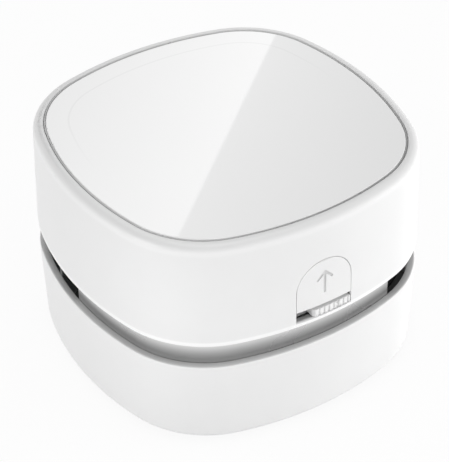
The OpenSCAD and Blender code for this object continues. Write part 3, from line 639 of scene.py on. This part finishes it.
def swept(corners, closed=True):
    """Takes a profile round the plan outline. Across is counted out from the sides."""
    bm = bmesh.new()
    rounded(bm, corners, closed=closed)
    bmesh.ops.translate(bm, vec=(HALF_W * MM, 0, 0), verts=bm.verts)
    geom = bm.verts[:] + bm.edges[:]
    for centre, angle, steps in OUTLINE:
        geom = spun(bm, geom, centre, angle, steps)
    return closed_up(bm)


def turned(corners, place=(0, 0), steps=64, rounding=4):
    """Turns a profile about an upright axis."""
    bm = bmesh.new()
    rounded(bm, corners, rounding)
    spun(bm, bm.verts[:] + bm.edges[:], (0, 0), 2 * math.pi, steps)
    closed_up(bm)
    bmesh.ops.dissolve_degenerate(bm, dist=1e-7, edges=bm.edges)
    on_axis = [edge for edge in bm.edges if not edge.link_faces]
    bmesh.ops.delete(bm, geom=on_axis, context="EDGES")
    bmesh.ops.translate(bm, vec=(place[0] * MM, place[1] * MM, 0), verts=bm.verts)
    return bm


def prism(corners, front, rear, steps=6):
    """A profile drawn out along Y."""
    bm = bmesh.new()
    rounded(bm, corners, steps)
    bmesh.ops.edgeloop_fill(bm, edges=bm.edges)
    grown = bmesh.ops.extrude_face_region(bm, geom=bm.faces[:])["geom"]
    moved = [v for v in grown if isinstance(v, bmesh.types.BMVert)]
    bmesh.ops.translate(bm, vec=(0, (rear - front) * MM, 0), verts=moved)
    bmesh.ops.translate(bm, vec=(0, front * MM, 0), verts=bm.verts)
    return closed_up(bm)


def block(low, high, edge=0.0):
    """A box from corner to corner, its edges rounded."""
    low, high = Vector(low) * MM, Vector(high) * MM
    bm = bmesh.new()
    size = Matrix.Diagonal((*(high - low), 1))
    bmesh.ops.create_cube(bm, size=1, matrix=Matrix.Translation((low + high) / 2) @ size)
    if edge:
        bmesh.ops.bevel(bm, geom=bm.edges[:], offset=edge * MM, offset_type="OFFSET", affect="EDGES",
                        segments=3, profile=0.5, material=-1)
    return bm


def rectangle(x0, x1, z0, z1, radius=0.0):
    return [(x0, z0, radius), (x1, z0, radius), (x1, z1, radius), (x0, z1, radius)]


print("plan arcs:", len(OUTLINE))

# %% [markdown]
# Openings are cut with a Boolean, which is finished at once, so that no tool stays in the scene.
# A piece is then put in the scene with its finish and the body that it rides on, and the part that
# it stands for is hidden. The rounding of cut edges is a Bevel modifier. Tools that cut the front
# wall or the back wall reach from well outside it to well inside.

# %% Cutting and keeping
FRONT_CUT, REAR_CUT = (-52, -34), (34, 50)


def as_object(name, bm):
    mesh = bpy.data.meshes.new(name)
    bm.to_mesh(mesh)
    bm.free()
    return link(name, mesh)


def discard(*things):
    for thing in things:
        mesh = thing.data
        bpy.data.objects.remove(thing)
        bpy.data.meshes.remove(mesh)


def carve(bm, tools, how="DIFFERENCE"):
    """Takes tools away from a solid, or keeps what it has in common with each."""
    host = as_object("host", bm)
    cutters = [as_object("cutter", tool) for tool in tools]
    for cutter in cutters:
        step = host.modifiers.new("carve", "BOOLEAN")
        step.operation = how
        step.object = cutter
        step.solver = "EXACT"
    ready = host.evaluated_get(bpy.context.evaluated_depsgraph_get())
    result = bpy.data.meshes.new_from_object(ready)
    carved = bmesh.new()
    carved.from_mesh(result)
    bpy.data.meshes.remove(result)
    discard(host, *cutters)
    bmesh.ops.remove_doubles(carved, verts=carved.verts, dist=1e-6)
    bmesh.ops.dissolve_degenerate(carved, dist=1e-6, edges=carved.edges)
    return carved


def joined(bm, *others):
    for other in others:
        mesh = bpy.data.meshes.new("joining")
        other.to_mesh(mesh)
        other.free()
        bm.from_mesh(mesh)
        bpy.data.meshes.remove(mesh)
    return bm


def keep(name, bm, finish, body, stands_for=(), soft=0.0, sharp=35):
    """Puts a piece in the scene. A soft edge is rounded by that many millimetres."""
    for face in bm.faces:
        face.smooth = True
    for edge in bm.edges:
        edge.smooth = soft > 0 or edge.calc_face_angle(0) < math.radians(sharp)
    open_edges = sum(not edge.is_manifold for edge in bm.edges)
    piece = as_object(name, bm)
    piece.data.materials.append(finish)
    if soft:
        bevel = piece.modifiers.new("soft_edges", "BEVEL")
        bevel.width = soft * MM
        bevel.segments = 2
        bevel.limit_method = "ANGLE"
        bevel.angle_limit = math.radians(sharp)
        bevel.use_clamp_overlap = False
        piece.modifiers.new("even_shading", "WEIGHTED_NORMAL")
    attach(piece, body)
    if stands_for:
        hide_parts(stands_for)
    print(name, len(piece.data.polygons), "faces,", open_edges, "open edges")


# %% [markdown]
# ## Upper cover
#
# The upper cover is one moulding: a wall that swells out a little towards the gap, a round lip at
# the bottom, and a rounded rim with a ledge inside that carries the panel. The profile holds all of
# this. Its rows up the wall keep the faces short, so that the cut edges shade evenly. The arched
# opening, the charging port and the hole of the light are cut after the sweep, and the four screw
# bosses and their ribs stand inside.

# %% Upper cover
SLOT_LOW, SLOT_HIGH, CROWN, ARCH_R = 31.8, 35.0, 47.9, 7.6
# A corner's rounding stays just under half of the side, or its ends would fall on each other.
FULL = 0.999
SCREW_X, SCREW_Y = 28.5, 24


def arch(grow, low):
    """The outline of the arched button, grown by a margin."""
    radius = ARCH_R + grow
    crown = [(side * radius, CROWN + grow, radius * FULL) for side in (1, -1)]
    return [(-radius, low, 0), (radius, low, 0), *crown]


rows = [(wall_out(z), z, 0) for z in (33, 36, 39, 42, 45, 48, 51, 54)]
cover = swept([(FLARE, UPPER_LOW, 0.5), *rows, (0, RIM_TOP, 2.1), (-2.6, RIM_TOP, 0.3), (-2.6, 56, 0),
               (-5.6, 56, 0.2), (-5.6, 54.8, 0.2), (-2, 51.2, 0), (-1.25, UPPER_LOW, 0.3)])
PORT_Z, PORT_HALF_W, PORT_HALF_H = 38.78, 4.67, 1.78
port = rectangle(-PORT_HALF_W, PORT_HALF_W, PORT_Z - PORT_HALF_H, PORT_Z + PORT_HALF_H,
                 PORT_HALF_H * FULL)
LIGHT_X, LIGHT_Z, LIGHT_R = 9.0, 38.5, 1.1
light_hole = rectangle(LIGHT_X - LIGHT_R, LIGHT_X + LIGHT_R, LIGHT_Z - LIGHT_R, LIGHT_Z + LIGHT_R,
                       LIGHT_R * FULL)
cover = carve(cover, [prism(arch(0, SLOT_LOW), *FRONT_CUT, 24), prism(port, *REAR_CUT, 12),
                      prism(light_hole, *REAR_CUT, 8)])
BOSS_LOW, BOSS_HIGH, HOLE_TOP, BOSS_R, RIB_HALF = 33.3, 51.8, 42.3, 2.8, 0.6
boss_profile = [(1, BOSS_LOW, 0), (BOSS_R, BOSS_LOW, 0.2), (BOSS_R, BOSS_HIGH, 0.2), (0, BOSS_HIGH, 0),
                (0, HOLE_TOP, 0), (1, HOLE_TOP, 0)]
for sx in (-1, 1):
    for sy in (-1, 1):
        x = sx * SCREW_X
        near, wall = sorted((sy * 26, sy * 35.6))
        rib = block((x - RIB_HALF, near, BOSS_LOW), (x + RIB_HALF, wall, BOSS_HIGH))
        cover = joined(cover, turned(boss_profile, (x, sy * SCREW_Y), 32), rib)
keep("upper_cover", cover, cover_white, "upper_half", "upper_shell", soft=0.09)

# %% [markdown]
# ## Panel and its ring
#
# The panel is a clear plate, white on its underside, and its top edge is polished round. Its sides
# and edge are an open profile taken round the outline, and the two flat faces are filled in. The
# ring round it is a thin strip of satin metal in the same outline.

# %% Panel
PANEL_LOW = 56.8
panel = swept([(-PANEL_IN, PANEL_LOW, 0), (-PANEL_IN, RIM_TOP, 0.25), (-3.40, RIM_TOP, 0), (-6, RIM_TOP, 0)],
              closed=False)
rings = [edge for edge in panel.edges if edge.is_boundary]
halfway = (PANEL_LOW + RIM_TOP) / 2 * MM
bmesh.ops.edgeloop_fill(panel, edges=[e for e in rings if e.verts[0].co.z > halfway])
bmesh.ops.edgeloop_fill(panel, edges=[e for e in rings if e.verts[0].co.z < halfway])
bmesh.ops.recalc_face_normals(panel, faces=panel.faces)
keep("panel_plate", panel, panel_polish, "upper_half", "top_panel")

TRIM_OUT, TRIM_IN, TRIM_TOP = -2.62, -3.05, 58.95
trim = swept([(TRIM_OUT, PANEL_LOW, 0), (TRIM_OUT, TRIM_TOP, 0.1), (TRIM_IN, TRIM_TOP, 0.1),
              (TRIM_IN, PANEL_LOW, 0)])
keep("panel_ring", trim, trim_metal, "upper_half", "trim_ring")

# %% [markdown]
# ## Lower cover
#
# The dust box is the same kind of moulding. Its profile has the seat for the neck at the top, a
# ledge for the filter half way down and one for the floor at the bottom. Two pockets in the front
# wall take the noses of the latch.

# %% Lower cover
lower = swept([(0, 1.5, 1.6), (FLARE, LOWER_TOP, 0.45), (-1.02, LOWER_TOP, 0.06), (-1.02, 17.0, 0),
               (-1.9, 17.0, 0.1), (-1.9, 15.0, 0), (-4.1, 15.0, 0.1), (-4.1, 13.8, 0), (-1.9, 12.2, 0.2),
               (-1.9, 5.2, 0.3), (-7, 5.2, 0.2), (-7, 3.9, 0), (-2.3, 3.9, 0), (-2.3, 1.5, 0.2)])
LATCH_X, POCKET_HALF = 9.5, 1.9
pockets = [block((x - POCKET_HALF, -41.55, 19.6), (x + POCKET_HALF, -37, 22.4))
           for x in (-LATCH_X, LATCH_X)]
lower = carve(lower, pockets)
FLOOR_SCREW = 34
boss_profile = [(1, 3.9, 0), (BOSS_R, 3.9, 0), (BOSS_R, 9.9, 0.3), (0, 9.9, 0), (0, 8.9, 0), (1, 8.9, 0)]
for place in [(FLOOR_SCREW, 0), (0, FLOOR_SCREW), (-FLOOR_SCREW, 0), (0, -FLOOR_SCREW)]:
    lower = joined(lower, turned(boss_profile, place, 32))
keep("lower_cover", lower, lower_white, "dust_box_body", "dust_box", soft=0.07)

# %% [markdown]
# ## Release button
#
# The arched button fills the opening but for a hairline seam, and its face follows the wall. So it
# is cut from a band of the same sweep as the wall, with the arch as the tool. A plain arrow is
# sunk into its face. A flange behind the wall keeps the button from falling out, and a round
# seat takes the spring.

# %% Release button
def band(depth, low, high):
    """A band of the front wall, from its outer face inwards."""
    steps = [low + (high - low) * k / 4 for k in range(5)]
    return swept([(wall_out(low) - depth, low, 0), *((wall_out(z), z, 0) for z in steps),
                  (wall_out(high) - depth, high, 0)])


ARROW_MID, ARROW_HALF, ARROW_WING, ARROW_DEEP = 41.4, 2.9, 1.9, 0.30


def button_shade(x, y, z):
    """Painted shade: the sunk arrow is greyer than the face round it."""
    deep = distance(x, y - SIDE) < SIDE_R + wall_out(ARROW_MID) - 0.16
    # Painted shade in the sunk arrow: 14 % greyer.
    return 1 - deep * (abs(x) < 4) * (z > 36.5) * (y < -38) * 0.14


button_white = plastic("button_white", 0.86, 0.30, shade=button_shade)
BUTTON_SEAM = 0.11
button_arch = arch(-BUTTON_SEAM, SLOT_HIGH + 0.1)
button = carve(band(2.75, 33.5, 50), [prism(button_arch, *FRONT_CUT, 24)], "INTERSECT")


def bar(start, end, half, front, rear):
    """A round-ended bar between two points of the front, as (x, z)."""
    reach = Vector(end) - Vector(start)
    long = reach.length / 2 + half
    bm = prism(rectangle(-long, long, -half, half, half * FULL), front, rear, 4)
    middle = (Vector(start) + Vector(end)) / 2
    tilt = Matrix.Rotation(-math.atan2(reach.y, reach.x), 3, "Y")
    bmesh.ops.rotate(bm, cent=(0, 0, 0), matrix=tilt, verts=bm.verts)
    bmesh.ops.translate(bm, vec=(middle.x * MM, 0, middle.y * MM), verts=bm.verts)
    return bm


lean = math.atan(SLOPE)
face_y = -(HALF_W + wall_out(ARROW_MID))
head = (0, ARROW_HALF)
lines = [((0, -ARROW_HALF), head), (head, (-ARROW_WING, 1.0)), (head, (ARROW_WING, 1.0))]
strokes = [bar(start, end, 0.36, -6, ARROW_DEEP) for start, end in lines]
for stroke in strokes:
    bmesh.ops.rotate(stroke, cent=(0, 0, 0), matrix=Matrix.Rotation(-lean, 3, "X"), verts=stroke.verts)
    bmesh.ops.translate(stroke, vec=(0, face_y * MM, ARROW_MID * MM), verts=stroke.verts)
button = carve(button, strokes)
flange = swept(rectangle(-3.15, -2.35, 34, 50))
flange = carve(flange, [prism(arch(1.2, 37.2), *FRONT_CUT, 24)], "INTERSECT")
SPRING_Z = 43.1
seat = turned([(0, 38.4, 0), (2.5, 38.4, 0.2), (2.5, 39.45, 0), (0, 39.45, 0)])
bmesh.ops.rotate(seat, cent=(0, 0, 0), matrix=Matrix.Rotation(math.radians(90), 3, "X"), verts=seat.verts)
bmesh.ops.translate(seat, vec=(0, 0, SPRING_Z * MM), verts=seat.verts)
button = joined(button, flange, seat)
keep("arched_button", button, button_white, "button", "release_button", soft=0.06)

# %% [markdown]
# ## Switch knob
#
# The thumb piece follows the wall too. Seven grooves leave ribs between them for grip. Its left end
# is cut off at a slant, so that a thumb slides up on it. Behind the wall it widens into a plate that
# covers the slot at both ends of its travel, and a block on the plate holds the stem of the switch.

# %% Switch knob
KNOB_LEFT, KNOB_RIGHT, KNOB_LOW, KNOB_HIGH = -3.0, 7.3, 31.95, 34.0
KNOB_MID = 33


def knob_shade(x, y, z):
    """Painted shade greys the bottom of the grooves, and a painted highlight makes the whole knob lighter."""
    deep = distance(x, y - SIDE) < SIDE_R + wall_out(KNOB_MID) - 0.18
    # A painted highlight makes the knob 6 % lighter, and painted shade makes the groove bottoms 12 % greyer.
    return 1.06 - deep * (y < -41.0) * 0.12


knob_white = plastic("knob_white", 0.86, 0.28, shade=knob_shade)
knob_front = rectangle(KNOB_LEFT, KNOB_RIGHT, KNOB_LOW, KNOB_HIGH, 0.12)
knob = carve(band(3.2, 31, 35), [prism(knob_front, *FRONT_CUT)], "INTERSECT")
GROOVES, GROOVE_PITCH, GROOVE_W, GROOVE_DEEP = 7, 1.35, 0.46, 0.30
grooves = []
for k in range(GROOVES):
    at = KNOB_LEFT + 1.6 + GROOVE_PITCH * k
    radius = SIDE_R + wall_out(KNOB_MID) - GROOVE_DEEP
    floor_y = SIDE - math.sqrt(radius ** 2 - at ** 2)
    grooves.append(block((at - GROOVE_W / 2, -48, 31), (at + GROOVE_W / 2, floor_y, 35), 0.15))
slant = block((-3, -3, -3), (0, 3, 3))
bmesh.ops.rotate(slant, cent=(0, 0, 0), matrix=Matrix.Rotation(math.radians(40), 3, "Z"), verts=slant.verts)
bmesh.ops.translate(slant, vec=((KNOB_LEFT + 0.9) * MM, -43.2 * MM, KNOB_MID * MM), verts=slant.verts)
knob = carve(knob, [*grooves, slant])
plate = block((-8.5, -39.6, 31.1), (12.8, -38.8, 34.75), 0.15)
stem_holder = block((-0.25, -39.5, KNOB_LOW), (4.55, -37.3, KNOB_HIGH), 0.1)
knob = joined(knob, plate, stem_holder)
keep("ribbed_knob", knob, knob_white, "switch", "switch_knob", soft=0.07)

# %% [markdown]
# ## Brushes and feet
#
# The two brushes are rows of nylon strands set in arcs beside the suction mouth. Each strand is a
# five-sided tapered rod, leant a little at random, and there are enough of them in tufts to hide
# what is between. The random numbers come from one seeded source, so each run gives the same brush.
# The feet are domed rubber discs.

# %% Brushes and feet
BRUSH_R, BRUSH_HALF, BRUSH_SPAN = 19.0, 1.15, 126
STRAND_LOW, STRAND_HIGH, TUFTS, STRANDS = 0.27, 4.15, 30, 10
draw = random.Random(41)
brushes = bmesh.new()
for side in (90, 270):
    for tuft in range(TUFTS):
        middle = side - BRUSH_SPAN / 2 + BRUSH_SPAN * (tuft + 0.5) / TUFTS
        for strand in range(STRANDS):
            turn_to = math.radians(middle + draw.uniform(-1.4, 1.4))
            out = BRUSH_R + draw.uniform(-BRUSH_HALF, BRUSH_HALF) * 0.9
            low = STRAND_LOW + draw.uniform(0, 0.35)
            foot = Vector((out * math.cos(turn_to), out * math.sin(turn_to), STRAND_HIGH))
            tip = foot + Vector((draw.uniform(-0.22, 0.22), draw.uniform(-0.22, 0.22), low - STRAND_HIGH))
            lie = (tip - foot).to_track_quat("Z", "Y").to_matrix().to_4x4()
            lie = Matrix.Translation((tip + foot) / 2 * MM) @ lie
            bmesh.ops.create_cone(brushes, cap_ends=True, segments=5, radius1=0.11 * MM,
                                  radius2=0.06 * MM, depth=(tip - foot).length * MM, matrix=lie)
keep("brush_strands", brushes, nylon, "dust_box_body", "brush_bristles", sharp=80)

FOOT, FOOT_R, FOOT_TOP = 24.5, 4.0, 2.2
foot_profile = [(0, 0, 0), (2.2, 0, 0), (FOOT_R, 0.5, 0.5), (FOOT_R, FOOT_TOP, 0.1), (0, FOOT_TOP, 0)]
feet = bmesh.new()
for sx in (-1, 1):
    for sy in (-1, 1):
        joined(feet, turned(foot_profile, (sx * FOOT, sy * FOOT), 40))
keep("domed_feet", feet, rubber, "dust_box_body", "rubber_feet")

# %% [markdown]
# ## Filter cloth, seal and exhaust foams
#
# The fleece is a disc with a soft edge that sinks a little between the bars of its frame. The seal
# is a ring of foam, squeezed between the neck and the fan cover, so its sides bulge. The exhaust
# foams are strips behind the windows, cut short and notched for the screw posts that they pass.

# %% Filter cloth and seal
CLOTH_R, SEAL_LOW, SEAL_MID, SEAL_HIGH = 30.6, 17.0, 18.7, 20.4
cloth = turned([(0, 15.5, 0), (CLOTH_R, 15.5, 0.28), (CLOTH_R, 16.1, 0.28), (20, 16.06, 0), (8, 16.02, 0),
                (0, 16.0, 0)], steps=96)
keep("fleece_disc", cloth, fleece, "filter", "filter_cloth")
seal = turned([(30.15, SEAL_LOW, 0.5), (30.05, SEAL_MID, 2.0), (30.15, SEAL_HIGH, 0.5),
               (32.05, SEAL_HIGH, 0.5), (32.1, SEAL_MID, 2.0), (32.05, SEAL_LOW, 0.5)], steps=96)
keep("seal_ring", seal, foam, "upper_half", "filter_seal")

# %% Exhaust foams
def sector(low, high, reach, start, sweep):
    """A slice of a cylinder about the middle, in degrees."""
    bm = bmesh.new()
    rounded(bm, rectangle(0, reach, low, high))
    bmesh.ops.rotate(bm, cent=(0, 0, 0), matrix=Matrix.Rotation(math.radians(start), 3, "Z"), verts=bm.verts)
    spun(bm, bm.verts[:] + bm.edges[:], (0, 0), math.radians(sweep), 12)
    bmesh.ops.remove_doubles(bm, verts=bm.verts, dist=1e-6)
    bmesh.ops.holes_fill(bm, edges=[e for e in bm.edges if e.is_boundary])
    bmesh.ops.recalc_face_normals(bm, faces=bm.faces)
    return bm


FOAM_OUT, FOAM_IN, FOAM_LOW, FOAM_HIGH = -3.05, -4.55, 21.6, 31.75
CUT_LOW, CUT_HIGH = 20, 33
POST_AT, POST_ANGLES = 34.4, (22, 100, 202, 240)


def clearance(radius, low, place):
    """A pin that cuts the room for a post or a screw."""
    return turned([(0, low, 0), (radius, low, 0), (radius, CUT_HIGH, 0), (0, CUT_HIGH, 0)], place, 24)


foams = bmesh.new()
for turn_to in (0, 180):
    strip = swept([(FOAM_IN, FOAM_LOW, 0.15), (FOAM_OUT, FOAM_LOW, 0.25), (FOAM_OUT, FOAM_HIGH, 0.25),
                   (FOAM_IN, FOAM_HIGH, 0.15)])
    strip = carve(strip, [sector(CUT_LOW, CUT_HIGH, 60, turn_to + 115, 69)], "INTERSECT")
    places = [(POST_AT * math.cos(math.radians(a)), POST_AT * math.sin(math.radians(a))) for a in POST_ANGLES]
    posts = [clearance(2.55, CUT_LOW, place) for place in places]
    heads = [clearance(2.25, 29.8, (sx * SCREW_X, sy * SCREW_Y)) for sx in (-1, 1) for sy in (-1, 1)]
    joined(foams, carve(strip, posts + heads))
keep("window_foams", foams, foam, "upper_half", "exhaust_foams")

# %% [markdown]
# ## Release spring and charging socket
#
# The spring is real wire: a small circle, spun round the spring's axis while it climbs. The socket
# keeps its CAD shell and gets the tongue that a plug slides over, with its row of gold contacts.

# %% Release spring
SPRING_FRONT, SPRING_REAR, SPRING_R, WIRE_R, TURNS = -37.0, -31.62, 2.0, 0.29, 6
coil = bmesh.new()
bmesh.ops.create_circle(coil, segments=8, radius=WIRE_R * MM)
bmesh.ops.rotate(coil, cent=(0, 0, 0), matrix=Matrix.Rotation(math.radians(90), 3, "Y"), verts=coil.verts)
bmesh.ops.translate(coil, vec=(0, (SPRING_FRONT + WIRE_R) * MM, SPRING_R * MM), verts=coil.verts)
climb = (SPRING_REAR - SPRING_FRONT - 2 * WIRE_R) * MM
PER_TURN = 24
bmesh.ops.spin(coil, geom=coil.verts[:] + coil.edges[:], cent=(0, 0, 0), axis=(0, 1, 0),
               dvec=(0, climb / (TURNS * PER_TURN), 0), angle=2 * math.pi * TURNS, space=Matrix.Identity(4),
               steps=TURNS * PER_TURN, use_merge=False, use_normal_flip=False, use_duplicate=False)
bmesh.ops.holes_fill(coil, edges=[e for e in coil.edges if e.is_boundary])
bmesh.ops.recalc_face_normals(coil, faces=coil.faces)
bmesh.ops.translate(coil, vec=(0, 0, SPRING_Z * MM), verts=coil.verts)
keep("coil_spring", coil, pressed_steel, "upper_half", "release_spring", sharp=60)

# %% Charging socket's tongue
TONGUE_HALF, CONTACTS, CONTACT_PITCH = 0.35, 8, 0.75
tongue = block((-3.35, 34.4, PORT_Z - TONGUE_HALF), (3.35, 39.6, PORT_Z + TONGUE_HALF), 0.12)
keep("socket_tongue", tongue, dark_plastic, "upper_half")
contacts = bmesh.new()
for side in (-1, 1):
    for k in range(CONTACTS):
        x, z = -2.63 + CONTACT_PITCH * k, PORT_Z + side * 0.37
        joined(contacts, block((x - 0.15, 35.2, z - 0.05), (x + 0.15, 39.1, z + 0.05), 0.03))
keep("socket_contacts", contacts, bright_brass, "upper_half", sharp=60)
